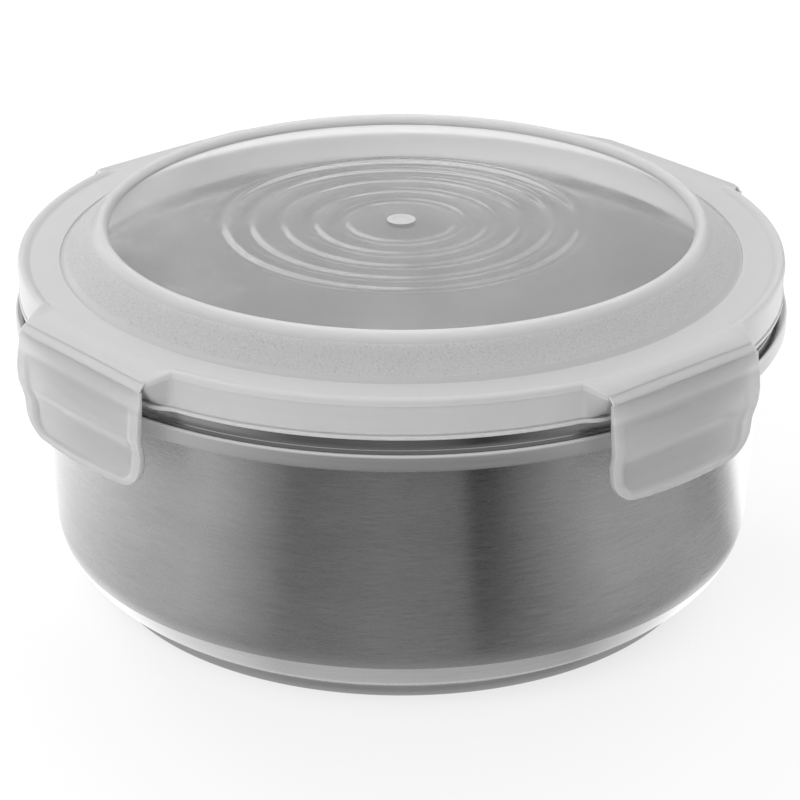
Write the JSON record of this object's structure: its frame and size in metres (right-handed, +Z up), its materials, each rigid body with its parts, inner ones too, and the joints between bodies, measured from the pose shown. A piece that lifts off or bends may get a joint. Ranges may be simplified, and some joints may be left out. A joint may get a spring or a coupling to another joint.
{
  "type": "stainless food container with clip-lock lid",
  "caption": "Round stainless steel food container with a translucent lid, a clear window and fold-down side latches that snap under the bead of the bowl",
  "frame": {"origin": "on the container's axis, at the table under its foot", "axes": "+Z up along the container's axis, with a latch towards each of +X, -X, +Y and -Y, the front one towards -Y"},
  "size_m": [0.1772, 0.1772, 0.0831],
  "materials": {
    "steel": "brushed round the wall, plain on the corner and the bead",
    "lid_plastic": "translucent, clear window and frosted slope",
    "latch_plastic": "translucent, glossy",
    "silicone": "translucent, matt"
  },
  "bodies": {
    "bowl": {"bowl": "steel"},
    "lid": {"lid": "lid_plastic", "gasket": "silicone", "film_hinge_front": "latch_plastic", "film_hinge_right": "latch_plastic", "film_hinge_back": "latch_plastic", "film_hinge_left": "latch_plastic"},
    "latch_front": {"latch_front": "latch_plastic"},
    "latch_right": {"latch_right": "latch_plastic"},
    "latch_back": {"latch_back": "latch_plastic"},
    "latch_left": {"latch_left": "latch_plastic"}
  },
  "joints": [
    {"name": "lid_lift", "type": "slide", "parent": "bowl", "child": "lid", "axis": [0, 0, 1], "range_m": [0, 0.1]},
    {"name": "latch_front_hinge", "type": "hinge", "parent": "lid", "child": "latch_front", "pos_m": [0, -0.0869, 0.0731], "axis": [-1, 0, 0], "range_deg": [-5, 150]},
    {"name": "latch_right_hinge", "type": "hinge", "parent": "lid", "child": "latch_right", "pos_m": [0.0869, 0, 0.0731], "axis": [0, -1, 0], "range_deg": [-5, 150]},
    {"name": "latch_back_hinge", "type": "hinge", "parent": "lid", "child": "latch_back", "pos_m": [0, 0.0869, 0.0731], "axis": [1, 0, 0], "range_deg": [-5, 150]},
    {"name": "latch_left_hinge", "type": "hinge", "parent": "lid", "child": "latch_left", "pos_m": [-0.0869, 0, 0.0731], "axis": [0, 1, 0], "range_deg": [-5, 150]}
  ]
}
